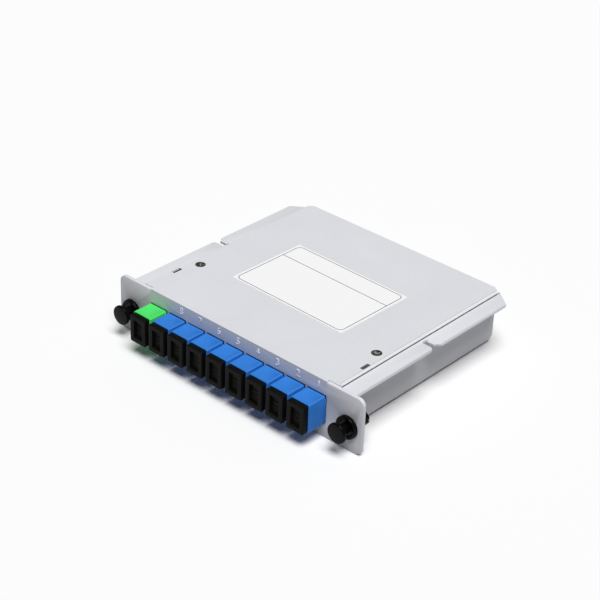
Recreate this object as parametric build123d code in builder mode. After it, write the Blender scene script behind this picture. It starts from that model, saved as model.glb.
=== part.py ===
from build123d import *
from math import sqrt
import os

# Plug-in fibre optic splitter module with one input port and eight output ports.
# Millimetres. X runs along the front panel, +Y to the back of the case, +Z up.
# The origin is on the surface that the module stands on, under the middle of its outer box.

# Ports
port_count = 9
port_gap = 1.287
window_clearance = 0.1

# Cover: the lid and the front panel, folded from one sheet
panel_height = 24.6
panel_corner = 3.0
ear_width = 13.6
case_depth = 101.0
cover_sheet = 1.5
cover_bend = 0.3
cover_overhang = 0.3
lid_rise = 0.4
lid_corner = 2.0
fold_inset = 4.4
relief_width = 0.8
relief_depth = 2.4
relief_gap = 0.5

# Base tray: floor, walls and wings, folded from one sheet
side_room = 2.9
tray_sheet = 1.2
tray_lift = 1.0
tray_gap = 0.3
tray_bend = 0.3
tray_back_round = 3.2
wing_width = 8.35
wing_gap = 3.7
wing_cut_width = 7.6
wing_cut_length = 5.8
wing_corner = 1.4
notch_place = 49.9
notch_width = 3.4
notch_depth = 6.2
notch_corner = 1.1
notch_mouth = 2.0

# Slots in the lid over the walls, and the tray's locating tongue in the left one
slot_length = 4.5
slot_place = 17.8
slot_inner_gap = 0.3
slot_outer_gap = 0.1
tongue_end_gap = 0.2
tongue_slit = 0.4
tongue_drop = 0.1

# Cover screws and the brackets that they are driven into
screw_inset = 2.6
screw_place = 28.2
screw_diameter = 2.5
screw_head = 4.4
screw_length = 6.0
screw_clearance = 0.1
bracket_length = 9.0
bracket_reach = 6.4
bracket_drop = 7.0
bracket_sheet = 1.2
weld_nut_width = 4.8
weld_nut_height = 1.6

# Sides of the small round forms that are repeated at every port
round_sides = 10

# Sleeve that lines up two ferrules
sleeve_bore = 2.5
sleeve_wall = 0.35
sleeve_inset = 0.2
sleeve_slit = 0.4
sleeve_clearance = 0.05

# Adapter
socket_width = 7.5
socket_height = 9.1
socket_relief = 1.0
adapter_side_wall = 0.9
adapter_end_wall = 1.75
adapter_length = 25.4
adapter_reach = 9.2
adapter_corner = 0.35
partition = 2.0
holder_wall = 0.65
holder_length = 11.8
arm_width = 2.6
arm_thickness = 0.7
arm_length = 6.1
key_width = 2.7
key_depth = 3.2
stop_rib = 0.45
stop_rib_length = 0.8
stop_rib_height = 10.4

# Adapter clips
groove_width = 5.4
groove_depth = 0.35
groove_length = 8.0
groove_margin = 0.6
clip_sheet = 0.3
clip_lift = 0.75
clip_margin = 0.2

# Dust cap
cap_side_inset = 0.4
cap_end_inset = 0.25
cap_plate = 2.5
cap_corner = 0.7
cap_pocket_side = 1.95
cap_pocket_end = 1.95
cap_pocket_depth = 1.3
cap_plug_clearance = 0.1
cap_plug_wall = 0.9

# Rear connector and its boot
connector_length = 24.0
connector_clearance = 0.15
connector_gap = 0.3
connector_bore_gap = 0.4
connector_bore_room = 2.4
connector_waist = 5.6
connector_waist_length = 6.0
ferrule_clearance = 0.02
ferrule_end_gap = 0.1
boot_front = 4.4
boot_length = 12.0
boot_front_length = 2.0
boot_taper = 1.0

# Fibres and splitter module
fibre_thickness = 0.9
tail_straight = 2.7
tail_bend = 9.0
tail_steps = 3
coil_thickness = 3.6
coil_side_room = 1.1
coil_back_room = 15.5
module_length = 40.0
module_width = 7.0
module_height = 4.0
module_corner = 0.8
module_gap = 2.0
module_plug_length = 1.5
module_plug_inset = 0.6
pad_inset = 4.0
pad_edge = 0.5
saddle_length = 5.0
saddle_wall = 2.2
saddle_drop = 0.7
saddle_clearance = 0.02
saddle_gap = 1.0

# Label on the lid
label_width = 59.5
label_depth = 39.6
label_thickness = 0.12
label_shift = -0.7
label_place = 49.5
label_turn = -1.1

# Push-pull latches
latch_margin = 6.9
latch_height = 10.4
collar_diameter = 9.7
collar_thickness = 1.7
collar_edge = 0.6
grommet_diameter = 6.1
grommet_neck_step = 0.15
grommet_fit = 0.05
grommet_length = 7.4
slit_width = 0.7
slit_margin = 1.0
knob_diameter = 8.5
knob_thickness = 1.8
knob_edge = 0.4
knob_reach = 7.0
stem_diameter = 4.2
stem_clearance = 0.05
stem_inset = 1.3
lug_length = 0.8
lug_inset = 0.6

# Adapter, cap and connector sizes that follow from one another
adapter_width = socket_width + 2 * adapter_side_wall
adapter_height = socket_height + 2 * adapter_end_wall
socket_depth = (adapter_length - partition) / 2
sleeve_radius = sleeve_bore / 2 + sleeve_wall
holder_bore_radius = sleeve_radius + sleeve_clearance
holder_radius = holder_bore_radius + holder_wall
cap_width = adapter_width - 2 * cap_side_inset
cap_height = adapter_height - 2 * cap_end_inset
plug_width = socket_width - 2 * cap_plug_clearance
plug_height = socket_height - 2 * cap_plug_clearance
plug_length = (adapter_length - holder_length) / 2 - cap_plug_clearance
port_pitch = adapter_width + port_gap

# Widths, worked out from the row of ports
ports_width = (port_count - 1) * port_pitch + adapter_width
wall_inner_x = ports_width / 2 + side_room
wall_outer_x = wall_inner_x + tray_sheet
wing_x = wall_outer_x + wing_width
cover_x = wall_outer_x + cover_overhang
panel_x = cover_x + ear_width
fold_x = cover_x - fold_inset
screw_x = wall_inner_x - screw_inset
latch_x = panel_x - latch_margin
port_xs = [(i - (port_count - 1) / 2) * port_pitch for i in range(port_count)]
port_names = ["in"] + [str(port_count - i) for i in range(1, port_count)]

# Heights
case_height = panel_height + lid_rise
lid_under_z = case_height - cover_sheet
floor_z = tray_lift + tray_sheet
wing_under_z = lid_under_z - tray_sheet
wall_top_z = wing_under_z - tray_bend
port_z = panel_height / 2

# Places from front to back
face_y = (adapter_reach + cap_plate - case_depth) / 2
rear_face_y = face_y + cover_sheet
back_y = face_y + case_depth
adapter_front_y = face_y - adapter_reach
adapter_back_y = adapter_front_y + adapter_length
adapter_mid_y = (adapter_front_y + adapter_back_y) / 2
connector_front_y = adapter_mid_y + partition / 2 + connector_gap
connector_back_y = connector_front_y + connector_length
boot_end_y = connector_back_y + boot_length
coil_front_y = boot_end_y + tail_straight + tail_bend
coil_back_y = back_y - tray_sheet - coil_back_room - coil_thickness / 2
coil_bend = (coil_back_y - coil_front_y) / 2
coil_mid_y = coil_front_y + coil_bend
coil_half = wall_inner_x - coil_side_room - coil_thickness / 2 - coil_bend
module_y = coil_back_y - coil_thickness / 2 - module_gap - module_width / 2
module_end_x = module_length / 2 + module_plug_length

os.makedirs("parts", exist_ok=True)


def save(part, name):
    part.label = name
    export_step(part, f"parts/{name}.step")


def upright(y):
    """Plane across the case at y: its x is X, its y is Z, and it faces the front."""
    return Plane.XZ.offset(-y)


# Cover
slot_x = wall_outer_x - (tray_sheet + slot_inner_gap - slot_outer_gap) / 2
with BuildPart() as cover:
    # The panel comes down from the lid in one bend between the relief cuts
    with BuildSketch(Plane.YZ.offset(-fold_x)) as fold_profile:
        with Locations(((face_y + back_y) / 2, case_height - cover_sheet / 2)):
            Rectangle(case_depth, cover_sheet)
        with Locations((face_y + cover_sheet / 2, case_height / 2)):
            Rectangle(cover_sheet, case_height)
        inner_corner = fold_profile.vertices().sort_by_distance((rear_face_y, lid_under_z))[0]
        outer_corner = fold_profile.vertices().sort_by_distance((face_y, case_height))[0]
        fillet(inner_corner, cover_bend)
        fillet(outer_corner, cover_bend + cover_sheet)
    extrude(amount=2 * fold_x)
    # The lid is wider than the bend, and its back corners are cut off
    with BuildSketch(Plane.XY.offset(lid_under_z)) as lid_outline:
        with Locations((0, (rear_face_y + relief_gap + back_y) / 2)):
            Rectangle(2 * cover_x, back_y - rear_face_y - relief_gap)
        chamfer(lid_outline.vertices().group_by(Axis.Y)[-1], lid_corner)
    extrude(amount=cover_sheet)
    # Ears of the panel beyond the bend
    with BuildSketch(upright(face_y)) as ears:
        with Locations((0, panel_height / 2)):
            RectangleRounded(2 * panel_x, panel_height, panel_corner)
            Rectangle(2 * fold_x, panel_height, mode=Mode.SUBTRACT)
    extrude(amount=-cover_sheet)
    # Relief cuts at both ends of the bend
    with BuildSketch(upright(face_y)):
        relief_x = fold_x + relief_width / 2
        with Locations((relief_x, case_height - relief_depth / 2), (-relief_x, case_height - relief_depth / 2)):
            Rectangle(relief_width, relief_depth)
    extrude(amount=-cover_sheet - relief_gap, mode=Mode.SUBTRACT)
    # Windows for the adapters, and round holes for the latches
    with BuildSketch(upright(face_y)):
        with Locations((0, port_z)):
            with GridLocations(port_pitch, port_pitch, port_count, 1):
                Rectangle(adapter_width + 2 * window_clearance, adapter_height + 2 * window_clearance)
        with Locations((latch_x, latch_height), (-latch_x, latch_height)):
            Circle(grommet_diameter / 2 + grommet_fit)
    extrude(amount=-cover_sheet, mode=Mode.SUBTRACT)
    # Countersunk screw holes and the two narrow slots beside the lid's edges
    with Locations((screw_x, face_y + screw_place, case_height), (-screw_x, face_y + screw_place, case_height)):
        CounterSinkHole((screw_diameter + screw_clearance) / 2, (screw_head + screw_clearance) / 2, cover_sheet, 90)
    with BuildSketch(Plane.XY.offset(lid_under_z)):
        with Locations((slot_x, face_y + slot_place), (-slot_x, face_y + slot_place)):
            Rectangle(tray_sheet + slot_inner_gap + slot_outer_gap, slot_length)
    extrude(amount=cover_sheet, mode=Mode.SUBTRACT)
save(cover.part, "cover")

# Base tray
tray_front_y = rear_face_y + tray_gap
with BuildPart() as base_tray:
    with BuildSketch(Plane.XY.offset(tray_lift)):
        with Locations((0, (tray_front_y + back_y) / 2)):
            Rectangle(2 * wall_outer_x, back_y - tray_front_y)
    extrude(amount=wall_top_z - tray_lift)
    fillet(base_tray.faces().sort_by(Axis.Z)[0].edges().sort_by(Axis.Y)[-1], tray_back_round)
    side_faces = base_tray.faces().filter_by(Axis.X)
    side_edges = [e for f in side_faces for e in f.edges() if e.center().Y > tray_front_y + tray_bend]
    side_edges = [e for e in side_edges if e.center().Z < wall_top_z - tray_bend]
    fillet(side_edges, tray_bend + tray_sheet)
    with BuildSketch(Plane.YZ.offset(-wall_inner_x)) as hollow:
        with Locations(((face_y + back_y - tray_sheet) / 2, (floor_z + wall_top_z) / 2)):
            Rectangle(case_depth - tray_sheet, wall_top_z - floor_z)
        fillet(hollow.vertices().sort_by_distance((back_y, floor_z))[0], tray_back_round - tray_sheet)
    extrude(amount=2 * wall_inner_x, mode=Mode.SUBTRACT)
    # The back wall goes on up to the lid, the side walls bend outwards into wings
    with BuildSketch(Plane.XY.offset(wall_top_z)):
        with Locations((0, back_y - tray_sheet / 2)):
            Rectangle(2 * (wall_inner_x - tray_sheet), tray_sheet)
    extrude(amount=lid_under_z - wall_top_z)
    with BuildSketch(upright(back_y)) as wing_profile:
        with BuildLine():
            inside = CenterArc((wall_outer_x + tray_bend, wall_top_z), tray_bend, 180, -90)
            outside = CenterArc((wall_outer_x + tray_bend, wall_top_z), tray_bend + tray_sheet, 180, -90)
            Line(inside @ 0, outside @ 0)
            Polyline(inside @ 1, (wing_x, wing_under_z), (wing_x, lid_under_z), outside @ 1)
        make_face()
        mirror(about=Plane.YZ)
    extrude(amount=case_depth - wing_gap)
    # Back corners of the wings are cut away, and each wing has a round-mouthed notch
    with BuildSketch(Plane.XY.offset(wall_top_z)) as wing_cuts:
        with BuildLine():
            Polyline(
                (wing_x - wing_cut_width, back_y),
                (wing_x, back_y - wing_cut_length),
                (wing_x, back_y),
                close=True,
            )
        make_face()
        with Locations((wing_x, face_y + notch_place)):
            Rectangle(2 * notch_depth, notch_width)
        mirror(about=Plane.YZ)
    extrude(amount=lid_under_z - wall_top_z, mode=Mode.SUBTRACT)
    uprights = base_tray.edges().filter_by(Axis.Z)
    wing_edge = uprights.filter_by(lambda e: abs(e.center().X) > wing_x - tray_sheet)
    back_corners = wing_edge.filter_by(lambda e: e.center().Y > back_y - wing_cut_length - tray_sheet)
    mouths = wing_edge.filter_by(lambda e: abs(e.center().Y - face_y - notch_place) < notch_width)
    notch_ends = uprights.filter_by(
        lambda e: abs(e.center().Y - face_y - notch_place) < notch_width
        and abs(abs(e.center().X) - wing_x + notch_depth) < tray_sheet
    )
    fillet(back_corners, wing_corner)
    fillet(mouths, notch_mouth)
    fillet(notch_ends, notch_corner)
    # Locating tongue left standing on the left wall, with the window it leaves in the wing
    tongue_length = slot_length - 2 * tongue_end_gap
    window_length = tongue_length + 2 * tongue_slit
    window_width = tray_sheet + case_height - lid_under_z
    with BuildSketch(Plane.XY.offset(wall_top_z)):
        with Locations((-wall_inner_x - window_width / 2, face_y + slot_place)):
            Rectangle(window_width, window_length)
    extrude(amount=lid_under_z - wall_top_z, mode=Mode.SUBTRACT)
    with BuildSketch(Plane.XY.offset(wall_top_z)):
        with Locations((-wall_outer_x + tray_sheet / 2, face_y + slot_place)):
            Rectangle(tray_sheet, tongue_length)
    extrude(amount=case_height - tongue_drop - wall_top_z)
save(base_tray.part, "base_tray")


def make_bracket(side):
    """Angle welded inside a side wall, with a square weld nut under the lid."""
    wall_x = side * wall_inner_x
    nut_x = side * screw_x
    with BuildPart() as bracket:
        with BuildSketch(upright(face_y + screw_place + bracket_length / 2)):
            with BuildLine():
                corner = (wall_x, lid_under_z)
                arm_end = (wall_x - side * bracket_reach, lid_under_z)
                foot_end = (wall_x, lid_under_z - bracket_drop)
                Polyline(
                    corner,
                    arm_end,
                    (arm_end[0], lid_under_z - bracket_sheet),
                    (wall_x - side * bracket_sheet, lid_under_z - bracket_sheet),
                    (wall_x - side * bracket_sheet, foot_end[1]),
                    foot_end,
                    close=True,
                )
            make_face()
        extrude(amount=bracket_length)
        outer_edge = bracket.edges().filter_by(Axis.Y).sort_by_distance((wall_x, face_y + screw_place, lid_under_z))[0]
        fillet(outer_edge, bracket_sheet)
        with BuildSketch(Plane.XY.offset(lid_under_z - bracket_sheet)):
            with Locations((nut_x, face_y + screw_place)):
                Rectangle(weld_nut_width, weld_nut_width)
        extrude(amount=-weld_nut_height)
        with BuildSketch(Plane.XY.offset(lid_under_z)):
            with Locations((nut_x, face_y + screw_place)):
                Circle((screw_diameter + screw_clearance) / 2)
        extrude(amount=-bracket_sheet - weld_nut_height, mode=Mode.SUBTRACT)
    return bracket.part


save(make_bracket(-1), "screw_bracket_left")
save(make_bracket(1), "screw_bracket_right")

# Cover screws: flat heads level with the lid
head_depth = (screw_head - screw_diameter) / 2
with BuildPart() as cover_screws:
    for x in (-screw_x, screw_x):
        with BuildSketch(Plane.XZ.offset(-face_y - screw_place)):
            with BuildLine():
                Polyline(
                    (x, case_height),
                    (x + screw_head / 2, case_height),
                    (x + screw_diameter / 2, case_height - head_depth),
                    (x + screw_diameter / 2, case_height - screw_length),
                    (x, case_height - screw_length),
                    close=True,
                )
            make_face()
        revolve(axis=Axis((x, face_y + screw_place, 0), (0, 0, 1)))
save(cover_screws.part, "cover_screws")


def make_adapter(x):
    """Adapter body: a socket at each end, a wall between them and the sleeve holder through it."""
    with BuildPart() as adapter:
        with BuildSketch(upright(adapter_back_y)):
            with Locations((x, port_z)):
                Rectangle(adapter_width, adapter_height)
        extrude(amount=adapter_length)
        chamfer(adapter.edges().filter_by(Axis.Y), adapter_corner)
        # Stop ribs on the broad sides rest on the front of the panel
        with BuildSketch(upright(face_y)):
            with Locations((x, port_z)):
                Rectangle(adapter_width + 2 * stop_rib, stop_rib_height)
        extrude(amount=stop_rib_length)
        # Sockets, the front one taller where its latch arms stand
        with BuildSketch(upright(adapter_front_y)):
            with Locations((x, port_z)):
                Rectangle(socket_width, socket_height)
                Rectangle(arm_width + 2 * arm_thickness, socket_height + 2 * socket_relief)
        extrude(amount=-socket_depth, mode=Mode.SUBTRACT)
        with BuildSketch(upright(adapter_back_y)):
            with Locations((x, port_z)):
                Rectangle(socket_width, socket_height)
        extrude(amount=socket_depth, mode=Mode.SUBTRACT)
        # Sleeve holder
        with BuildSketch(upright(adapter_mid_y + holder_length / 2)):
            with Locations((x, port_z)):
                RegularPolygon(holder_radius, round_sides)
        extrude(amount=holder_length)
        with BuildSketch(upright(adapter_back_y)):
            with Locations((x, port_z)):
                RegularPolygon(holder_bore_radius, round_sides)
        extrude(amount=adapter_length, mode=Mode.SUBTRACT)
        # Latch arms above and below the front socket
        with BuildSketch(upright(adapter_mid_y - partition / 2)):
            with Locations((x, port_z)):
                with GridLocations(socket_width, socket_height + arm_thickness, 1, 2):
                    Rectangle(arm_width, arm_thickness)
        extrude(amount=arm_length)
        # Keyway in the mouth on the broad side
        with BuildSketch(upright(adapter_front_y)):
            with Locations((x - adapter_width / 2, port_z)):
                Rectangle(adapter_width - socket_width, key_width)
        extrude(amount=-key_depth, mode=Mode.SUBTRACT)
        # Shallow grooves for the clips behind the panel
        with BuildSketch(upright(rear_face_y + groove_margin + groove_length)):
            for z in (port_z - adapter_height / 2, port_z + adapter_height / 2):
                with Locations((x, z)):
                    Rectangle(groove_width, 2 * groove_depth)
        extrude(amount=groove_length, mode=Mode.SUBTRACT)
    return adapter.part


for x, name in zip(port_xs, port_names):
    save(make_adapter(x), f"adapter_{name}")

# Spring clips: strips in the adapters' grooves that flare out behind the panel
with BuildPart() as adapter_clips:
    groove_floor = adapter_height / 2 - groove_depth
    clip_back_y = rear_face_y + groove_margin + groove_length - clip_margin
    clip_front_y = rear_face_y + clip_margin
    bend_y = rear_face_y + groove_margin + groove_length / 2
    tip = groove_floor + groove_depth + clip_lift
    for x in port_xs:
        with BuildSketch(Plane.YZ.offset(x - groove_width / 2 + clip_margin)):
            with BuildLine():
                Polyline(
                    (clip_back_y, port_z + groove_floor),
                    (bend_y, port_z + groove_floor),
                    (clip_front_y, port_z + tip - clip_sheet),
                    (clip_front_y, port_z + tip),
                    (bend_y, port_z + groove_floor + clip_sheet),
                    (clip_back_y, port_z + groove_floor + clip_sheet),
                    close=True,
                )
            make_face()
            mirror(about=Plane.XZ.offset(-port_z))
        extrude(amount=groove_width - 2 * clip_margin)
save(adapter_clips.part, "adapter_clips")


def make_sleeve(x):
    """Split ceramic tube that lines up the two ferrules."""
    with BuildPart() as sleeve:
        with BuildSketch(upright(adapter_mid_y + holder_length / 2 - sleeve_inset)):
            with Locations((x, port_z)):
                RegularPolygon(sleeve_radius, round_sides)
                RegularPolygon(sleeve_bore / 2, round_sides, mode=Mode.SUBTRACT)
            with Locations((x, port_z + sleeve_radius)):
                Rectangle(sleeve_slit, 2 * sleeve_radius, mode=Mode.SUBTRACT)
        extrude(amount=holder_length - 2 * sleeve_inset)
    return sleeve.part


for x, name in zip(port_xs, port_names):
    save(make_sleeve(x), f"sleeve_{name}")


def make_cap(x):
    """Dust cap: a plate with a finger pocket in front, and a hollow plug that fills the socket's mouth."""
    with BuildPart() as cap:
        with BuildSketch(upright(adapter_front_y)):
            with Locations((x, port_z)):
                Rectangle(cap_width, cap_height)
        extrude(amount=cap_plate)
        chamfer(cap.edges().filter_by(Axis.Y), cap_corner)
        with BuildSketch(upright(adapter_front_y - cap_plate)):
            with Locations((x, port_z)):
                Rectangle(cap_width - 2 * cap_pocket_side, cap_height - 2 * cap_pocket_end)
        extrude(amount=-cap_pocket_depth, mode=Mode.SUBTRACT)
        with BuildSketch(upright(adapter_front_y)):
            with Locations((x, port_z)):
                Rectangle(plug_width, plug_height)
                Rectangle(plug_width - 2 * cap_plug_wall, plug_height - 2 * cap_plug_wall, mode=Mode.SUBTRACT)
        extrude(amount=-plug_length)
    return cap.part


for x, name in zip(port_xs, port_names):
    save(make_cap(x), f"dust_cap_{name}")


def make_connector(x):
    """Rear connector: housing round the sleeve holder, the ferrule, and a waist for the boot."""
    width = socket_width - 2 * connector_clearance
    height = socket_height - 2 * connector_clearance
    with BuildPart() as connector:
        with BuildSketch(upright(connector_back_y - connector_waist_length)):
            with Locations((x, port_z)):
                Rectangle(width, height)
        extrude(amount=connector_length - connector_waist_length)
        with BuildSketch(upright(connector_back_y)):
            with Locations((x, port_z)):
                Rectangle(connector_waist, connector_waist)
        extrude(amount=connector_waist_length)
        bore_end_y = adapter_mid_y + holder_length / 2 + connector_bore_room
        with BuildSketch(upright(connector_front_y)):
            with Locations((x, port_z)):
                Rectangle(2 * (holder_radius + connector_bore_gap), 2 * (holder_radius + connector_bore_gap))
        extrude(amount=connector_front_y - bore_end_y, mode=Mode.SUBTRACT)
        with BuildSketch(upright(bore_end_y)):
            with Locations((x, port_z)):
                RegularPolygon(sleeve_bore / 2 - ferrule_clearance, round_sides)
        extrude(amount=bore_end_y - adapter_mid_y - ferrule_end_gap)
    return connector.part


for x, name in zip(port_xs, port_names):
    save(make_connector(x), f"rear_connector_{name}")


def make_boot(x):
    """Tapered bend relief behind a rear connector."""
    with BuildPart() as boot:
        with BuildSketch(upright(boot_end_y)):
            with Locations((x, port_z)):
                RegularPolygon(boot_front / 2, round_sides)
        extrude(amount=boot_length)
        tail_end = boot.faces().sort_by(Axis.Y)[-1]
        chamfer(tail_end.edges(), boot_taper, boot_length - boot_front_length, reference=tail_end)
    return boot.part


for x, name in zip(port_xs, port_names):
    save(make_boot(x), f"boot_{name}")

# Fibre coil: an oval bundle round the splitter module, joined by the tails from the boots
with BuildPart() as fibre_coil:
    with BuildSketch(Plane.XY.offset(port_z - coil_thickness / 2)):
        with Locations((0, coil_mid_y)):
            SlotCenterToCenter(2 * coil_half, 2 * coil_bend + coil_thickness)
            SlotCenterToCenter(2 * coil_half, 2 * coil_bend - coil_thickness, mode=Mode.SUBTRACT)
    extrude(amount=coil_thickness)
    # Tails: straight out of each boot, then bending inwards into the front run
    for x in port_xs:
        with BuildLine(Plane.XY.offset(port_z)):
            inwards = 1 if x > 0 else -1
            bend_start = (x, coil_front_y - tail_bend)
            bend = JernArc(bend_start, (0, 1), tail_bend, 90 * inwards, mode=Mode.PRIVATE)
            curve = [bend @ (step / tail_steps) for step in range(tail_steps + 1)]
            join_x = inwards * (min(abs(x) - tail_bend, coil_half) - fibre_thickness)
            Polyline((x, boot_end_y), *curve, (join_x, coil_front_y))
        with BuildSketch(Plane(origin=(x, boot_end_y, port_z), x_dir=(1, 0, 0), z_dir=(0, 1, 0))):
            Rectangle(fibre_thickness, fibre_thickness)
        sweep(transition=Transition.RIGHT)
    # Leads from both ends of the splitter module into the coil's ends
    lead_end_x = coil_half + sqrt(coil_bend**2 - (module_y - coil_mid_y) ** 2)
    with BuildSketch(Plane.XY.offset(port_z - fibre_thickness / 2)):
        with Locations((0, module_y)):
            Rectangle(2 * lead_end_x, fibre_thickness)
            Rectangle(2 * module_end_x, fibre_thickness, mode=Mode.SUBTRACT)
    extrude(amount=fibre_thickness)
save(fibre_coil.part, "fibre_coil")

# Splitter module: a flat steel tube with a plug in each end, on a foam pad
with BuildPart() as splitter_module:
    with BuildSketch(Plane.YZ.offset(-module_length / 2)):
        with Locations((module_y, port_z)):
            Rectangle(module_width, module_height)
    extrude(amount=module_length)
    chamfer(splitter_module.edges().filter_by(Axis.X), module_corner)
    with BuildSketch(Plane.YZ.offset(-module_end_x)):
        with Locations((module_y, port_z)):
            Rectangle(module_width - 2 * module_plug_inset, module_height - 2 * module_plug_inset)
    extrude(amount=2 * module_end_x)
save(splitter_module.part, "splitter_module")

with BuildPart() as module_pad:
    with BuildSketch(Plane.XY.offset(floor_z)):
        with Locations((0, module_y)):
            Rectangle(module_length - 2 * pad_inset, module_width - 2 * pad_edge)
    extrude(amount=port_z - module_height / 2 - floor_z)
save(module_pad.part, "module_pad")

# Saddles: blocks stuck to the floor, with a groove that the coil lies in
saddle_spacing = 2 * (module_end_x + saddle_gap) + saddle_length
groove = coil_thickness + 2 * saddle_clearance
with BuildPart() as coil_saddles:
    with BuildSketch(Plane.XY.offset(floor_z)):
        with Locations((0, coil_mid_y)):
            with GridLocations(saddle_spacing, 2 * coil_bend, 2, 2):
                Rectangle(saddle_length, groove + 2 * saddle_wall)
    extrude(amount=port_z - saddle_drop - floor_z)
    with BuildSketch(Plane.XY.offset(port_z - coil_thickness / 2)):
        with Locations((0, coil_mid_y)):
            with GridLocations(saddle_spacing, 2 * coil_bend, 2, 2):
                Rectangle(saddle_length, groove)
    extrude(amount=coil_thickness, mode=Mode.SUBTRACT)
save(coil_saddles.part, "coil_saddles")

# Label, stuck on the lid slightly askew
with BuildPart() as label:
    with BuildSketch(Plane.XY.offset(case_height)):
        with Locations(Location((label_shift, face_y + label_place, 0), (0, 0, label_turn))):
            Rectangle(label_width, label_depth)
    extrude(amount=label_thickness)
save(label.part, "label")

# Push-pull latches: a split grommet in the panel's hole, and a plunger that slides in it
stem_radius = stem_diameter / 2
bore_radius = stem_radius + stem_clearance
grommet_end = cover_sheet + grommet_length
slit_start = cover_sheet + slit_margin


def make_grommet(x):
    """Grommet: round collar in front of the panel, and two split legs behind it."""
    collar = collar_diameter / 2
    leg = grommet_diameter / 2
    with BuildPart() as grommet:
        with BuildSketch(Plane(origin=(x, face_y, latch_height))):
            with BuildLine():
                Polyline(
                    (bore_radius, -collar_thickness),
                    (collar - collar_edge, -collar_thickness),
                    (collar, collar_edge - collar_thickness),
                    (collar, 0),
                    (leg - grommet_neck_step, 0),
                    (leg - grommet_neck_step, cover_sheet + grommet_fit),
                    (leg, cover_sheet + grommet_fit),
                    (leg, grommet_end),
                    (bore_radius, grommet_end),
                    close=True,
                )
            make_face()
        revolve(axis=Axis((x, face_y, latch_height), (0, 1, 0)))
        with BuildSketch(upright(face_y + grommet_end)):
            with Locations((x, latch_height)):
                Rectangle(grommet_diameter, slit_width)
        extrude(amount=grommet_end - slit_start, mode=Mode.SUBTRACT)
    return grommet.part


def make_plunger(x):
    """Plunger, pulled out: round knob, and a stem whose two lugs are stopped by the ends of the slits."""
    knob = knob_diameter / 2
    stem_end = grommet_end - stem_inset
    with BuildPart() as plunger:
        with BuildSketch(Plane(origin=(x, face_y, latch_height))):
            with BuildLine():
                Polyline(
                    (0, -knob_reach),
                    (knob - knob_edge, -knob_reach),
                    (knob, knob_edge - knob_reach),
                    (knob, knob_thickness - knob_reach),
                    (stem_radius, knob_thickness - knob_reach),
                    (stem_radius, stem_end),
                    (0, stem_end),
                    close=True,
                )
            make_face()
        revolve(axis=Axis((x, face_y, latch_height), (0, 1, 0)))
        with BuildSketch(upright(face_y + slit_start + stem_clearance + lug_length)):
            with Locations((x, latch_height)):
                Rectangle(grommet_diameter - lug_inset, slit_width - 2 * stem_clearance)
        extrude(amount=lug_length)
    return plunger.part


for x, side in ((-latch_x, "left"), (latch_x, "right")):
    save(make_grommet(x), f"latch_grommet_{side}")
    save(make_plunger(x), f"latch_plunger_{side}")
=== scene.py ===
from math import atan2, cos, radians, sin
import bmesh
import bpy
from mathutils import Matrix, Vector


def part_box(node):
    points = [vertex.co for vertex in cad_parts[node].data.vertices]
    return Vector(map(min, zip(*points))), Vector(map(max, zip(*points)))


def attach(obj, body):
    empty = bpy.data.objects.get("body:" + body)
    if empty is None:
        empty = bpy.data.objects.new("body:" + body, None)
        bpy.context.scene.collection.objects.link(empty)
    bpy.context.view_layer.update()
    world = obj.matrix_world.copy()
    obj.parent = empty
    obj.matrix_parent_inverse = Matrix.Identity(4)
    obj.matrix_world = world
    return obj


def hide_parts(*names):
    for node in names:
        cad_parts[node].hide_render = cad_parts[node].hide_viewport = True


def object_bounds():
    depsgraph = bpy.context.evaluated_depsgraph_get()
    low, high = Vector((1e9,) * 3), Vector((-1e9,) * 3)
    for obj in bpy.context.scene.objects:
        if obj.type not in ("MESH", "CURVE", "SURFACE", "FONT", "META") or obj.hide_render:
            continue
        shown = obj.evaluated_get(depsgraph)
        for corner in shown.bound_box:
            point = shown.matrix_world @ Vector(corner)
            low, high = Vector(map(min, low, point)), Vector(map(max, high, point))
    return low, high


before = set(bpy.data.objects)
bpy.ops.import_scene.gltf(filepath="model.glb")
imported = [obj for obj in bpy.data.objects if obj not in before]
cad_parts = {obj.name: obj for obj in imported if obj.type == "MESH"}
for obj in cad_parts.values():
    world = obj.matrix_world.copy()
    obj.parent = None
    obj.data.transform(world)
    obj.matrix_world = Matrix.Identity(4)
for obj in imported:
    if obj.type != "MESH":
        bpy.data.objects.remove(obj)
cad_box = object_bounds()
scene = bpy.context.scene
scene.view_settings.view_transform = "Standard"

# Camera
# A product shot with a longish lens from the right of the panel, a little more than half a metre away,
# looking down on the lid. The camera leans slightly to one side.
bpy.ops.object.camera_add(
    location=(0.3638, -0.42595, 0.3538),
    rotation=(radians(59.264), radians(-2.066), radians(42.233)),
)
camera = bpy.context.object
camera.name = "camera"
camera.data.lens = 97.03
camera.data.sensor_width = 36
camera.data.clip_start = 0.05
camera.data.clip_end = 20
scene.camera = camera


# Floor and studio
# White sweep of paper under the module, lit by one wide soft light from above, a little to the front and
# right, and by the pale room round it, so that the lid is bright and upright faces are much darker.
class Wire:
    """A value in a material. The usual operators on it add Math nodes."""

    def __init__(self, finish, socket):
        self.finish = finish
        self.socket = socket

    def maths(self, operation, first, second=0.0):
        return self.finish.node("Math", {"operation": operation}, {0: first, 1: second})

    def __add__(self, other):
        return self.maths("ADD", self, other)

    __radd__ = __add__

    def __sub__(self, other):
        return self.maths("SUBTRACT", self, other)

    def __rsub__(self, other):
        return self.maths("SUBTRACT", other, self)

    def __mul__(self, other):
        return self.maths("MULTIPLY", self, other)

    __rmul__ = __mul__

    def __lt__(self, other):
        return self.maths("LESS_THAN", self, other)

    def __gt__(self, other):
        return self.maths("GREATER_THAN", self, other)

    def __abs__(self):
        return self.maths("ABSOLUTE", self)

    def most(self, other):
        return self.maths("MAXIMUM", self, other)

    def root(self):
        return self.maths("SQRT", self)


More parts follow.
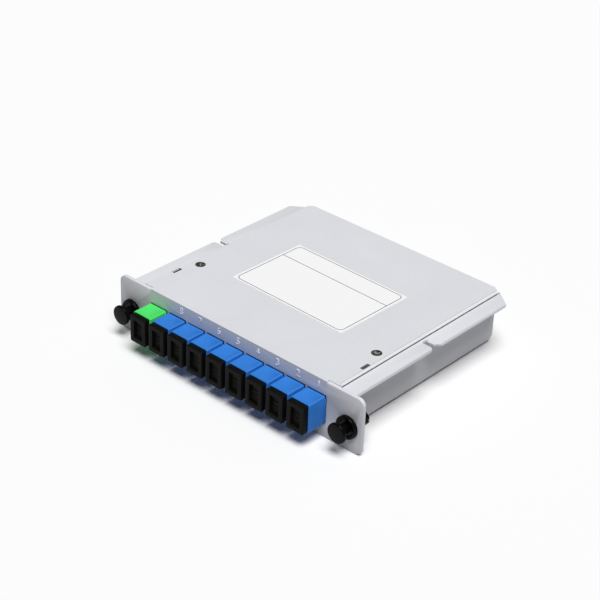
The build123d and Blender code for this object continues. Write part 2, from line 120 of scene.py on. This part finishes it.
class Finish:
    """A material. node() adds any shader node, set first and then wired."""

    def __init__(self, name, **constants):
        self.material = bpy.data.materials.new(name)
        self.material.use_nodes = True
        self.tree = self.material.node_tree
        self.shader = self.tree.nodes["Principled BSDF"]
        self.place = self.node("TexCoord", {}, {}, "Object")
        self.set(**constants)

    def node(self, kind, settings, inputs, output=0):
        made = self.tree.nodes.new("ShaderNode" + kind)
        for key, value in settings.items():
            setattr(made, key, value)
        for key, value in inputs.items():
            self.join(value, made.inputs[key])
        return Wire(self, made.outputs[output])

    def join(self, value, socket):
        if isinstance(value, Wire):
            self.tree.links.new(value.socket, socket)
        else:
            socket.default_value = value

    def set(self, **values):
        for key, value in values.items():
            self.join(value, self.shader.inputs[key.replace("_", " ")])

    def axis(self, letter):
        return self.node("SeparateXYZ", {}, {0: self.place}, letter)

    def noise(self, size, detail=2.0):
        return self.node("TexNoise", {}, {"Vector": self.place, "Scale": 1 / size, "Detail": detail})

    def mix(self, share, first, second):
        return self.node("Mix", {"data_type": "RGBA"}, {"Factor": share, 6: first, 7: second}, 2)

    def bump(self, height, distance, strength=1.0):
        inputs = {"Height": height, "Distance": distance, "Strength": strength}
        self.set(Normal=self.node("Bump", {}, inputs))

    def on(self, *pieces):
        for piece in pieces:
            if isinstance(piece, str):
                for place in bpy.data.objects[piece].material_slots:
                    place.material = self.material
            else:
                piece.data.materials.clear()
                piece.data.materials.append(self.material)


bpy.ops.object.select_all(action="DESELECT")
bpy.ops.mesh.primitive_plane_add(size=8.0, location=(0, 0, cad_box[0][2]))
floor = bpy.context.object
floor.name = "floor"
paper = Finish("studio_paper", Roughness=0.9, Specular_IOR_Level=0.0)
rays = [paper.node("LightPath", {}, {}, f"Is {kind} Ray") for kind in ("Camera", "Glossy", "Transmission")]
seen = rays[0].most(rays[1]).most(rays[2])
paper.set(Base_Color=paper.mix(seen, (0.42, 0.42, 0.43, 1), (0.955, 0.955, 0.955, 1)))
paper.on(floor)

bpy.ops.object.light_add(type="SUN", location=(0.1, 0.1, 1.0))
soft_light = bpy.context.object
soft_light.data.angle = radians(34)
soft_light.data.energy = 3.08
towards_light = Vector((0.3, -0.19, 1.0))
soft_light.rotation_euler = towards_light.to_track_quat("Z", "Y").to_euler()

world = bpy.data.worlds.new("studio")
scene.world = world
world.use_nodes = True
sky = world.node_tree.nodes["Background"]
sky.inputs["Color"].default_value = (0.98, 0.99, 1, 1)
sky.inputs["Strength"].default_value = 0.1


# Folded case
# Cover and base tray, each cut and folded from steel sheet and powder coated light grey. Cut edges are
# rubbed down a little, and the lid's long edges are filed. Light and shade are painted on the coat: a
# painted highlight on the filed flats, painted shade below them where the lid sits on the wings and in the
# lid's slots, and a thin painted shade line beside the right flat. The lid and the tray's wings reach
# close to the panel's ears.
near = 0.0001
film = 0.00002
sharp = radians(60)
edge_round = 0.00014
cover_sheet = 0.0015
tray_sheet = 0.0012
fold_round = 0.0003
lid_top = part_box("cover")[1][2]
lid_side = 0.051398
lid_middle = 0.0075
lid_edge_reach = 0.0006
lid_file = (0.0005, 0.00105)
edge_shade_line = 0.00018
panel_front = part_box("cover")[0][1]
ear_back = panel_front + cover_sheet
relief_side = 0.047
relief_width = 0.0008
relief_gap = 0.0005
gap_closed_by = 0.00048
relief_closed_by = 0.0007
painted_edge_start = ear_back + 0.0007
wing_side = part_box("base_tray")[1][0]
wing_top = lid_top - cover_sheet
wing_under = wing_top - tray_sheet
wing_reach = 0.0012
wing_file = (0.0004, 0.0009)
wall_side = 0.051098
case_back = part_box("base_tray")[1][1]
corner_end = wing_under - fold_round
corner_run = 0.0022
corner_side = 0.0492
slot_side = 0.050398
slot_middle = panel_front + 0.0178
slot_half_width = 0.00085
slot_half_length = 0.0023
slot_lip = 0.00012
slot_depth = 0.004
nibble_place = 0.0005
nibble_size = (0.0014, 0.006, 0.0022)
file_size = (0.0035, 0.1, 0.002)


def eased(node, name):
    """Joined-up copy of a CAD piece that takes its place. It is left in edit mode."""
    bpy.ops.object.select_all(action="DESELECT")
    piece = bpy.data.objects.new(name, bpy.data.objects[node].data.copy())
    scene.collection.objects.link(piece)
    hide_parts(node)
    piece.select_set(True)
    bpy.context.view_layer.objects.active = piece
    bpy.ops.mesh.customdata_custom_splitnormals_clear()
    bpy.ops.object.mode_set(mode="EDIT")
    bpy.ops.mesh.select_all(action="SELECT")
    bpy.ops.mesh.remove_doubles(threshold=0.000001)
    bpy.ops.mesh.dissolve_limited(angle_limit=radians(1))
    return piece


def choose_edges(piece, test):
    """In edit mode, selects the edges that pass a test of their middle, direction and angle of fold."""
    bpy.ops.mesh.select_mode(type="EDGE")
    bpy.ops.mesh.select_all(action="DESELECT")
    mesh = bmesh.from_edit_mesh(piece.data)
    for edge in mesh.edges:
        first, second = (corner.co for corner in edge.verts)
        if test((first + second) / 2, (second - first).normalized(), edge.calc_face_angle(0)):
            edge.select_set(True)
    bmesh.update_edit_mesh(piece.data)


def smoothed(piece, angle):
    """Back to object mode, with faces that meet at less than the angle shaded as one surface."""
    bpy.ops.object.mode_set(mode="OBJECT")
    bpy.ops.object.shade_smooth_by_angle(angle=radians(angle))
    return piece


def cut(piece, cutter):
    """Cuts one piece away from another."""
    bpy.ops.object.select_all(action="DESELECT")
    piece.select_set(True)
    bpy.context.view_layer.objects.active = piece
    away = piece.modifiers.new("away", "BOOLEAN")
    away.object = cutter
    away.solver = "EXACT"
    bpy.ops.object.modifier_apply(modifier="away")
    bpy.data.objects.remove(cutter)


def choose_faces(piece, test):
    """In edit mode, selects the faces that pass a test of their middle and normal."""
    bpy.ops.mesh.select_mode(type="FACE")
    bpy.ops.mesh.select_all(action="DESELECT")
    mesh = bmesh.from_edit_mesh(piece.data)
    mesh.normal_update()
    for face in mesh.faces:
        if test(face.calc_center_median(), face.normal):
            face.select_set(True)
    bmesh.update_edit_mesh(piece.data)


def filed(piece, side, edge, top, reach):
    """Files a flat along a sheet's upper side edge, reaching so far in and so far down."""
    slope = atan2(reach[1], reach[0])
    half_file = file_size[2] / 2
    bpy.ops.object.select_all(action="DESELECT")
    bpy.ops.mesh.primitive_cube_add(
        size=1,
        location=(
            side * (edge - reach[0] / 2 + half_file * sin(slope)),
            lid_middle,
            top - reach[1] / 2 + half_file * cos(slope),
        ),
        rotation=(0, side * slope, 0),
    )
    file = bpy.context.object
    file.scale = file_size
    bpy.ops.object.transform_apply(location=True, rotation=True, scale=True)
    cut(piece, file)


def beside_relief(middle):
    """Tells whether an edge is where the lid's fold ends or along an ear's back. Those stay sharp."""
    out = abs(middle.x)
    at_fold_end = middle.y < ear_back + 2 * relief_gap and abs(out - relief_side) < relief_width / 2
    at_ear_back = abs(middle.y - ear_back) < near and out > relief_side - 2 * near
    return middle.z > wing_under and (at_fold_end or at_ear_back)


def at_corner_end(middle):
    """Tells whether an edge is where the tray's rounded back corner ends under the wing."""
    at_back = middle.y > case_back - corner_run and abs(middle.x) > corner_side
    return at_back and abs(middle.z - corner_end) < fold_round + near


cover = eased("cover", "folded_cover")
choose_faces(
    cover,
    lambda middle, normal: normal.y < -0.99
    and abs(middle.x) > relief_side + relief_width
    and abs(middle.y - ear_back - relief_gap) < near,
)
bpy.ops.transform.translate(value=(0, -gap_closed_by, 0))
for side in (-1, 1):
    choose_faces(
        cover,
        lambda middle, normal: normal.x * side < -0.99
        and middle.z > wing_under
        and middle.y < ear_back
        and relief_side < middle.x * side < relief_side + 2 * relief_width,
    )
    bpy.ops.transform.translate(value=(-relief_closed_by * side, 0, 0))
for side in (-1, 1):
    choose_faces(
        cover,
        lambda middle, normal: normal.x * side > 0.99 and abs(middle.x * side - lid_side) < film / 2,
    )
    bpy.ops.transform.translate(value=(lid_edge_reach * side, 0, 0))
choose_edges(
    cover,
    lambda middle, way, fold: fold > sharp
    and middle.z < lid_top - fold_round
    and not beside_relief(middle),
)
bpy.ops.mesh.bevel(offset=edge_round, segments=2)
bpy.ops.object.mode_set(mode="OBJECT")
for side in (-1, 1):
    filed(cover, side, lid_side + lid_edge_reach, lid_top, lid_file)
smoothed(cover, 35)
tray = eased("base_tray", "folded_tray")
choose_faces(
    tray,
    lambda middle, normal: normal.y < -0.99 and middle.z > wing_under and abs(middle.x) > wall_side,
)
bpy.ops.transform.translate(value=(0, -wing_reach, 0))
choose_edges(tray, lambda middle, way, fold: fold > sharp and not at_corner_end(middle))
bpy.ops.mesh.bevel(offset=edge_round, segments=2)
bpy.ops.object.mode_set(mode="OBJECT")
bpy.ops.object.select_all(action="DESELECT")
bpy.ops.mesh.primitive_cube_add(
    size=1, location=(-slot_side + nibble_place, slot_middle, lid_top - nibble_place)
)
nibbler = bpy.context.object
nibbler.scale = nibble_size
bpy.ops.object.transform_apply(location=True, rotation=True, scale=True)
cut(tray, nibbler)
for side in (-1, 1):
    filed(tray, side, wing_side, wing_top, wing_file)
smoothed(tray, 35)
for piece in (cover, tray):
    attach(piece, "case")

coat = Finish("powder_coat", Specular_IOR_Level=0.4)
grain = coat.noise(0.0006, 3.0)
cloud = coat.noise(0.025, 2.0)
paint = coat.mix(grain * 0.6 + cloud * 0.4, (0.66, 0.665, 0.7, 1), (0.79, 0.8, 0.835, 1))
out = abs(coat.axis("X"))
on_right = coat.axis("X") > 0.0
down = lid_top - coat.axis("Z")
from_file = out - (lid_side + lid_edge_reach - lid_file[0])
behind_ear = coat.axis("Y") > painted_edge_start
past_edge = from_file - lid_file[0]
lid_edge_highlight = (from_file > 0.0) * (from_file < lid_file[0] + near) * (down < lid_file[1] + film)
lid_edge_gap_shade = (past_edge > -near / 2) * (past_edge < 3 * near) * (down < cover_sheet + near)
lid_edge_shade_line = (from_file < 0.0) * (from_file > -edge_shade_line) * (down < film) * on_right
# Painted shade on the lid's upright cut edge below the flat, and on the wing just beside it, where the lid
# sits on the wing.
paint = coat.mix(lid_edge_gap_shade * behind_ear, paint, (0.2, 0.2, 0.21, 1))
# Painted highlight: the filed flat along each long edge of the lid is coloured near white.
paint = coat.mix(lid_edge_highlight * behind_ear, paint, (0.97, 0.97, 0.98, 1))
# Painted shade: a thin dark line on the lid's top just inside the filed flat, on the right side only.
paint = coat.mix(lid_edge_shade_line * behind_ear, paint, (0.33, 0.33, 0.35, 1))
# Painted shade in the slots of the lid: nearly black on the left, mid grey on the right.
across_slot = abs(out - slot_side) < slot_half_width
along_slot = abs(coat.axis("Y") - slot_middle) < slot_half_length
slot_shade = across_slot * along_slot * (down > slot_lip) * (down < slot_depth)
shade = coat.mix(on_right, (0.015, 0.015, 0.017, 1), (0.42, 0.42, 0.43, 1))
paint = coat.mix(slot_shade, paint, shade)
coat.set(Base_Color=paint)
coat.set(Roughness=0.4 + 0.14 * grain)
coat.bump(coat.noise(0.0009, 2.0), 0.00002, 0.5)
coat.on(cover, tray)

# Cover screws
# Small countersunk machine screws with a cross recess, blackened, level with the lid. The coating has
# worn to bare metal where the screwdriver sits.
head_radius = 0.0022
head_rim = 0.0002
head_cone = 0.00075
head_round = 0.0001
shank_radius = 0.00125
shank_length = 0.00505
recess_width = 0.0006
recess_arm = 0.0009
recess_depth = 0.0006
recess_taper = 0.6
recess_turn = radians(30)
screw_low, screw_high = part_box("cover_screws")
screw_middle = (screw_low[1] + screw_high[1]) / 2
screw_side = screw_high[0] - head_radius


def pull(x, y, z):
    """Extrudes what is selected."""
    bpy.ops.mesh.extrude_region_move(TRANSFORM_OT_translate={"value": (x, y, z)})


def copied(piece, name, x):
    """Copy of a piece, moved sideways by x."""
    other = bpy.data.objects.new(name, piece.data.copy())
    other.data.transform(Matrix.Translation((x, 0, 0)))
    scene.collection.objects.link(other)
    return other


bpy.ops.object.select_all(action="DESELECT")
bpy.ops.mesh.primitive_cylinder_add(
    vertices=48,
    radius=head_radius,
    depth=head_rim,
    location=(-screw_side, screw_middle, lid_top - head_rim / 2),
)
screw = bpy.context.object
screw.name = "screws"
bpy.ops.object.transform_apply(location=True, rotation=True, scale=True)
bpy.ops.object.mode_set(mode="EDIT")
choose_faces(screw, lambda middle, normal: normal.z < -0.9)
pull(0, 0, -head_cone)
bpy.ops.transform.resize(
    value=(shank_radius / head_radius, shank_radius / head_radius, 1),
    center_override=(-screw_side, screw_middle, lid_top),
)
pull(0, 0, -shank_length)
choose_edges(screw, lambda middle, way, fold: fold > sharp and middle.z > lid_top - film)
bpy.ops.mesh.bevel(offset=head_round, segments=2)
bpy.ops.object.mode_set(mode="OBJECT")
bpy.ops.object.select_all(action="DESELECT")
bpy.ops.mesh.primitive_cube_add(size=recess_width, location=(-screw_side, screw_middle, lid_top))
driver = bpy.context.object
bpy.ops.object.transform_apply(location=True, rotation=True, scale=True)
bpy.ops.object.mode_set(mode="EDIT")
for x, y in ((1, 0), (-1, 0), (0, 1), (0, -1)):
    choose_faces(driver, lambda middle, normal: normal.dot(Vector((x, y, 0))) > 0.9)
    pull(recess_arm * x, recess_arm * y, 0)
choose_faces(driver, lambda middle, normal: normal.z < -0.9)
pull(0, 0, -recess_depth)
bpy.ops.transform.resize(
    value=(recess_taper, recess_taper, 1), center_override=(-screw_side, screw_middle, lid_top)
)
bpy.ops.object.mode_set(mode="OBJECT")
bpy.ops.object.select_all(action="DESELECT")
driver.select_set(True)
driver.data.transform(
    Matrix.Translation((-screw_side, screw_middle, 0)) @ Matrix.Rotation(recess_turn, 4, "Z")
    @ Matrix.Translation((screw_side, -screw_middle, 0))
)
cut(screw, driver)
second_screw = copied(screw, "second_screw", 2 * screw_side)
second_screw.select_set(True)
bpy.ops.object.join()
smoothed(screw, 35)
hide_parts("cover_screws")
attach(screw, "case")
black_steel = Finish("blackened_screw", Metallic=0.7, Specular_IOR_Level=0.5)
worn = black_steel.noise(0.0007, 3.0)
black_steel.set(Base_Color=black_steel.mix(worn > 0.56, (0.08, 0.076, 0.062, 1), (0.3, 0.29, 0.26, 1)))
black_steel.set(Roughness=0.32 + 0.2 * worn)
black_steel.on(screw)

# Label
# Matt white paper, stuck on the lid slightly askew. A thin frame with round corners is printed inside
# its edge, and one ruled line under the top row.
label_turn = radians(-1.1)
label_low, label_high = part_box("label")
label_x = (label_low[0] + label_high[0]) / 2
label_y = (label_low[1] + label_high[1]) / 2
frame_half_width = 0.0285
frame_half_depth = 0.0188
frame_corner = 0.0022
ruled_line = 0.00016
ruled_line_place = 0.0086

sheet = Finish("label_paper", Specular_IOR_Level=0.35)
east = sheet.axis("X") - label_x
north = sheet.axis("Y") - label_y
along = east * cos(label_turn) + north * sin(label_turn)
across = north * cos(label_turn) - east * sin(label_turn)
past_x = (abs(along) - (frame_half_width - frame_corner)).most(0.0)
past_y = (abs(across) - (frame_half_depth - frame_corner)).most(0.0)
from_frame = abs((past_x * past_x + past_y * past_y).root() - frame_corner)
inside = (abs(along) < frame_half_width) * (abs(across) < frame_half_depth)
ink = (from_frame < ruled_line).most((abs(across - ruled_line_place) < ruled_line) * inside)
fibres = sheet.noise(0.0005, 3.0)
white = sheet.mix(fibres, (0.9, 0.9, 0.9, 1), (0.95, 0.95, 0.95, 1))
sheet.set(Base_Color=sheet.mix(ink, white, (0.1, 0.1, 0.11, 1)), Roughness=0.5 + 0.1 * fibres)
sheet.on("label")

# Port numerals
# Plain numerals printed in white ink above the blue ports, in a row of their own pitch.
numeral_size = 0.0044
numeral_stroke = 0.00014
numeral_relief = 0.00004
first_numeral = -0.0294
numeral_pitch = 0.01037
numeral_foot = 0.0207
numerals = []
for place, figure in enumerate("87654321"):
    bpy.ops.object.select_all(action="DESELECT")
    bpy.ops.object.text_add(
        location=(first_numeral + place * numeral_pitch, panel_front - 0.00001, numeral_foot),
        rotation=(radians(90), 0, 0),
    )
    text = bpy.context.object
    text.data.body = figure
    text.data.size = numeral_size
    text.data.align_x = "CENTER"
    text.data.extrude = numeral_relief
    text.data.bevel_depth = numeral_stroke
    text.data.bevel_resolution = 2
    text.data.offset = -numeral_stroke
    bpy.ops.object.convert(target="MESH")
    bpy.ops.object.transform_apply(location=True, rotation=True, scale=True)
    numerals.append(text)
for numeral in numerals:
    numeral.select_set(True)
bpy.context.view_layer.objects.active = numerals[0]
bpy.ops.object.join()
numerals[0].name = "port_numerals"
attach(numerals[0], "case")
white_ink = Finish("white_ink", Roughness=0.5)
speck = white_ink.noise(0.0003, 3.0)
white_ink.set(Base_Color=white_ink.mix(speck, (0.93, 0.94, 0.95, 1), (0.99, 0.99, 1, 1)))
white_ink.on(numerals[0])

# Adapters
# Square push-pull adapters moulded in coloured plastic, green at the input and blue at the outputs.
# Each has a shallow sunk panel in its top, slightly rounded edges and a narrow groove where it goes
# into the panel's window, with painted shade in the groove.
ports = ["in", "8", "7", "6", "5", "4", "3", "2", "1"]
adapter_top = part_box("adapter_in")[1][2]
adapter_width = 0.0093
adapter_height = 0.0126
adapter_round = 0.00011
sunk_end = panel_front - 0.0006
sunk_margin = 0.0008
sunk_depth = 0.00012
groove_width = 0.0004
groove_depth = 0.00035
port_x = {}
for port in ports:
    low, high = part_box(f"adapter_{port}")
    port_x[port] = (low[0] + high[0]) / 2


def rounded(piece, width, angle):
    """Rounds every edge that folds by more than the angle."""
    bpy.ops.object.select_all(action="DESELECT")
    piece.select_set(True)
    bpy.context.view_layer.objects.active = piece
    edge = piece.modifiers.new("edge", "BEVEL")
    edge.width = width
    edge.segments = 2
    edge.limit_method = "ANGLE"
    edge.angle_limit = radians(angle)
    bpy.ops.object.modifier_apply(modifier="edge")
    bpy.ops.object.shade_smooth_by_angle(angle=radians(38))


def on_adapter_top(middle, normal):
    return normal.z > 0.9 and middle.z > adapter_top - near


adapter = eased("adapter_in", "adapter_body_in")
choose_faces(adapter, on_adapter_top)
bpy.ops.mesh.bisect(plane_co=(0, sunk_end, 0), plane_no=(0, 1, 0))
choose_faces(adapter, lambda middle, normal: on_adapter_top(middle, normal) and middle.y < sunk_end)
bpy.ops.mesh.inset(thickness=sunk_margin, depth=-sunk_depth)
bpy.ops.object.mode_set(mode="OBJECT")
rounded(adapter, adapter_round, 38)
for across, up in ((-1, 0), (1, 0), (0, 1)):
    bpy.ops.object.select_all(action="DESELECT")
    bpy.ops.mesh.primitive_cube_add(
        size=1,
        location=(
            port_x["in"] + across * adapter_width / 2,
            panel_front - groove_width / 2,
            adapter_top - (0 if up else adapter_height / 2),
        ),
    )
    groove = bpy.context.object
    groove.scale = (
        2 * groove_depth if across else adapter_width,
        groove_width,
        2 * groove_depth if up else adapter_height,
    )
    bpy.ops.object.transform_apply(location=True, rotation=True, scale=True)
    cut(adapter, groove)


def moulded(name, dark, light, rough=0.36, shine=0.4):
    """Moulded plastic: faint flow marks and a fine satin texture."""
    plastic = Finish(name, Specular_IOR_Level=shine)
    plastic.colour = plastic.mix(plastic.noise(0.004, 3.0), dark, light)
    plastic.set(Base_Color=plastic.colour)
    plastic.set(Roughness=rough + 0.14 * plastic.noise(0.0004, 2.0))
    plastic.bump(plastic.noise(0.0004, 2.0), 0.00001, 0.4)
    return plastic


green = moulded("green_plastic", (0.06, 0.72, 0.13, 1), (0.09, 0.84, 0.18, 1))
blue = moulded("blue_plastic", (0.022, 0.18, 0.62, 1), (0.032, 0.23, 0.74, 1))
# Painted shade in the groove at the panel: the band of each adapter there is coloured dark.
for plastic, shaded in ((green, (0.01, 0.16, 0.03, 1)), (blue, (0.004, 0.03, 0.12, 1))):
    from_groove = plastic.axis("Y") - (panel_front - groove_width)
    groove_shade = (from_groove > -film) * (from_groove < groove_width + near)
    plastic.set(Base_Color=plastic.mix(groove_shade, plastic.colour, shaded))
adapters = {"in": adapter}
for port in ports[1:]:
    adapters[port] = copied(adapter, f"adapter_body_{port}", port_x[port] - port_x["in"])
    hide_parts(f"adapter_{port}")
for port, piece in adapters.items():
    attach(piece, "case")
    (green if port == "in" else blue).on(piece)
    (green if port == "in" else blue).on(f"rear_connector_{port}")

# Dust caps
# Black soft plastic caps, one pushed into each adapter: a plate with a finger pocket, four grip ribs
# across the floor of the pocket, and a hollow square plug behind.
cap_low, cap_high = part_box("dust_cap_in")
cap_plate = 0.0025
cap_middle = (cap_low[2] + cap_high[2]) / 2
plate_width = cap_high[0] - cap_low[0]
plate_height = cap_high[2] - cap_low[2]
pocket_margin = 0.00195
pocket_depth = 0.0013
plug_width = 0.0073
plug_height = 0.0089
plug_wall = 0.0009
plug_floor = 0.0001
plate_corner = 0.0006
cap_round = 0.00016
rib_height = 0.00018
rib_pitch = 0.00095
ribs_reach = 0.0033


def on_pocket_floor(middle, normal):
    return normal.y < -0.9 and middle.y > cap_low[1] + pocket_depth / 2


bpy.ops.object.select_all(action="DESELECT")
bpy.ops.mesh.primitive_cube_add(size=1, location=(port_x["in"], cap_low[1] + cap_plate / 2, cap_middle))
cap = bpy.context.object
cap.name = "cap_in"
cap.scale = (plate_width, cap_plate, plate_height)
bpy.ops.object.transform_apply(location=True, rotation=True, scale=True)
bpy.ops.object.mode_set(mode="EDIT")
choose_faces(cap, lambda middle, normal: normal.y < -0.9)
bpy.ops.mesh.inset(thickness=pocket_margin)
pull(0, pocket_depth, 0)
for step in range(-3, 5):
    choose_faces(cap, on_pocket_floor)
    bpy.ops.mesh.bisect(plane_co=(0, 0, cap_middle + (step - 0.5) * rib_pitch), plane_no=(0, 0, 1))
choose_faces(
    cap,
    lambda middle, normal: on_pocket_floor(middle, normal)
    and abs(middle.z - cap_middle) < ribs_reach
    and round((middle.z - cap_middle) / rib_pitch) % 2 == 1,
)
pull(0, -rib_height, 0)
choose_faces(cap, lambda middle, normal: normal.y > 0.9 and middle.y > cap_low[1] + cap_plate / 2)
bpy.ops.mesh.inset(thickness=(plate_width - plug_width) / 2)
bpy.ops.transform.resize(
    value=(1, 1, plug_height / (plate_height - plate_width + plug_width)),
    center_override=(port_x["in"], 0, cap_middle),
)
pull(0, cap_high[1] - cap_low[1] - cap_plate, 0)
bpy.ops.mesh.inset(thickness=plug_wall)
pull(0, cap_low[1] + cap_plate - cap_high[1] + plug_floor, 0)
choose_edges(
    cap,
    lambda middle, way, fold: abs(way.y) > 0.9
    and abs(abs(middle.x - port_x["in"]) - plate_width / 2) < film
    and abs(abs(middle.z - cap_middle) - plate_height / 2) < film,
)
bpy.ops.mesh.bevel(offset=plate_corner, segments=4)
bpy.ops.object.mode_set(mode="OBJECT")
rounded(cap, cap_round, 50)

soot = moulded("cap_plastic", (0.003, 0.003, 0.0026, 1), (0.006, 0.006, 0.005, 1), 0.42, 0.07)
caps = {"in": cap}
for port in ports[1:]:
    caps[port] = copied(cap, f"cap_{port}", port_x[port] - port_x["in"])
for port, piece in caps.items():
    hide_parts(f"dust_cap_{port}")
    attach(piece, f"cap_{port}")
    soot.on(piece)

# Latches
# Glossy black nylon, one in each ear. A grommet with a dished collar is snapped into the panel, its legs
# split behind it, and a push button with a round head slides through it.
knob_low, knob_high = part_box("latch_plunger_right")
collar_low, collar_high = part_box("latch_grommet_right")
latch_side = (knob_low[0] + knob_high[0]) / 2
latch_height = (knob_low[2] + knob_high[2]) / 2
knob_radius = (knob_high[0] - knob_low[0]) / 2
knob_thickness = 0.0018
knob_round = 0.0006
crown_width = 0.0012
crown_rises = (0.0001, 0.00005)
knob_crown = sum(crown_rises)
stem_radius = 0.0021
lug_size = (0.0055, 0.0008, 0.0006)
lug_gap = 0.00005
lug_round = 0.0001
collar_radius = (collar_high[0] - collar_low[0]) / 2
collar_thickness = 0.0017
collar_round = 0.0006
collar_rim = 0.0004
dish_slope = 0.0007
dish_depth = 0.0006
dish_edge = collar_radius - collar_round - collar_rim - dish_slope
bore_radius = 0.00215
neck_radius = 0.0029
leg_radius = 0.00305
neck_end = panel_front + 0.00155
slit_front = panel_front + 0.0025
saw_size = (0.008, collar_high[1] - slit_front + 0.001, 0.0007)

bpy.ops.object.select_all(action="DESELECT")
bpy.ops.mesh.primitive_cylinder_add(
    vertices=72,
    radius=knob_radius,
    depth=knob_thickness - knob_crown,
    location=(latch_side, knob_low[1] + (knob_thickness + knob_crown) / 2, latch_height),
    rotation=(radians(90), 0, 0),
)
knob = bpy.context.object
knob.name = "push_button_right"
bpy.ops.object.transform_apply(location=True, rotation=True, scale=True)
bpy.ops.object.mode_set(mode="EDIT")
choose_edges(knob, lambda middle, way, fold: fold > sharp)
bpy.ops.mesh.bevel(offset=knob_round, segments=6)
choose_faces(knob, lambda middle, normal: normal.y < -0.999)
for rise in crown_rises:
    bpy.ops.mesh.inset(thickness=crown_width, depth=rise)
choose_faces(knob, lambda middle, normal: normal.y > 0.999)
bpy.ops.mesh.inset(thickness=knob_radius - knob_round - stem_radius)
pull(0, knob_high[1] - knob_low[1] - knob_thickness, 0)
smoothed(knob, 40)
bpy.ops.object.select_all(action="DESELECT")
bpy.ops.mesh.primitive_cube_add(
    size=1, location=(latch_side, slit_front + lug_gap + lug_size[1] / 2, latch_height)
)
lugs = bpy.context.object
lugs.scale = lug_size
bpy.ops.object.transform_apply(location=True, rotation=True, scale=True)
bpy.ops.object.mode_set(mode="EDIT")
bpy.ops.mesh.bevel(offset=lug_round, segments=2, affect="EDGES")
smoothed(lugs, 40)
knob.select_set(True)
bpy.context.view_layer.objects.active = knob
bpy.ops.object.join()

bpy.ops.object.select_all(action="DESELECT")
bpy.ops.mesh.primitive_cylinder_add(
    vertices=72,
    radius=collar_radius,
    depth=collar_thickness,
    location=(latch_side, panel_front - collar_thickness / 2, latch_height),
    rotation=(radians(90), 0, 0),
)
collar = bpy.context.object
collar.name = "grommet_right"
bpy.ops.object.transform_apply(location=True, rotation=True, scale=True)
bpy.ops.object.mode_set(mode="EDIT")
choose_edges(
    collar, lambda middle, way, fold: fold > sharp and middle.y < panel_front - collar_thickness / 2
)
bpy.ops.mesh.bevel(offset=collar_round, segments=6)
choose_faces(collar, lambda middle, normal: normal.y < -0.999)
bpy.ops.mesh.inset(thickness=collar_rim)
bpy.ops.mesh.inset(thickness=dish_slope, depth=-dish_depth)
bpy.ops.mesh.inset(thickness=dish_edge - bore_radius)
bpy.ops.mesh.delete(type="FACE")
choose_faces(collar, lambda middle, normal: normal.y > 0.999)
bpy.ops.mesh.inset(thickness=collar_radius - neck_radius)
pull(0, neck_end - panel_front, 0)
bpy.ops.mesh.extrude_region()
bpy.ops.transform.resize(
    value=(leg_radius / neck_radius, 1, leg_radius / neck_radius),
    center_override=(latch_side, 0, latch_height),
)
pull(0, collar_high[1] - neck_end, 0)
bpy.ops.mesh.inset(thickness=leg_radius - bore_radius)
bpy.ops.mesh.delete(type="FACE")
choose_edges(
    collar,
    lambda middle, way, fold: abs(way.y) < 0.1
    and (middle - Vector((latch_side, middle.y, latch_height))).length < bore_radius + film,
)
bpy.ops.mesh.bridge_edge_loops()
smoothed(collar, 40)
bpy.ops.object.select_all(action="DESELECT")
bpy.ops.mesh.primitive_cube_add(
    size=1, location=(latch_side, slit_front + saw_size[1] / 2, latch_height)
)
saw = bpy.context.object
saw.scale = saw_size
bpy.ops.object.transform_apply(location=True, rotation=True, scale=True)
cut(collar, saw)

gloss = moulded("latch_nylon", (0.002, 0.002, 0.002, 1), (0.004, 0.004, 0.004, 1), 0.14, 0.08)
for pattern, kind, body in ((knob, "plunger", "plunger_"), (collar, "grommet", "")):
    other = copied(pattern, pattern.name.replace("right", "left"), -2 * latch_side)
    for piece, side in ((pattern, "right"), (other, "left")):
        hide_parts(f"latch_{kind}_{side}")
        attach(piece, body + side if body else "case")
        gloss.on(piece)

# Inside the case
# Bare steel angles with weld nuts, spring clips and the splitter's tube; ceramic sleeves, rubber boots,
# the yellow bundle of coated fibres, its nylon saddles and the foam pad under the splitter.
bare_steel = Finish("bare_steel", Metallic=1.0, Roughness=0.35)
streak = bare_steel.noise(0.002, 4.0)
bare_steel.set(Base_Color=bare_steel.mix(streak, (0.5, 0.5, 0.5, 1), (0.62, 0.62, 0.63, 1)))
bare_steel.on("screw_bracket_left", "screw_bracket_right", "adapter_clips", "splitter_module")
ceramic = moulded("ceramic", (0.8, 0.78, 0.72, 1), (0.86, 0.85, 0.8, 1))
rubber = moulded("boot_rubber", (0.6, 0.6, 0.6, 1), (0.7, 0.7, 0.7, 1))
for port in ports:
    ceramic.on(f"sleeve_{port}")
    rubber.on(f"boot_{port}")
jacket = moulded("fibre_jacket", (0.75, 0.55, 0.06, 1), (0.82, 0.64, 0.1, 1))
jacket.on("fibre_coil")
nylon = moulded("nylon", (0.66, 0.66, 0.62, 1), (0.74, 0.74, 0.7, 1))
nylon.on("coil_saddles")
foam = moulded("grey_foam", (0.03, 0.03, 0.03, 1), (0.06, 0.06, 0.06, 1), 0.7)
foam.on("module_pad")
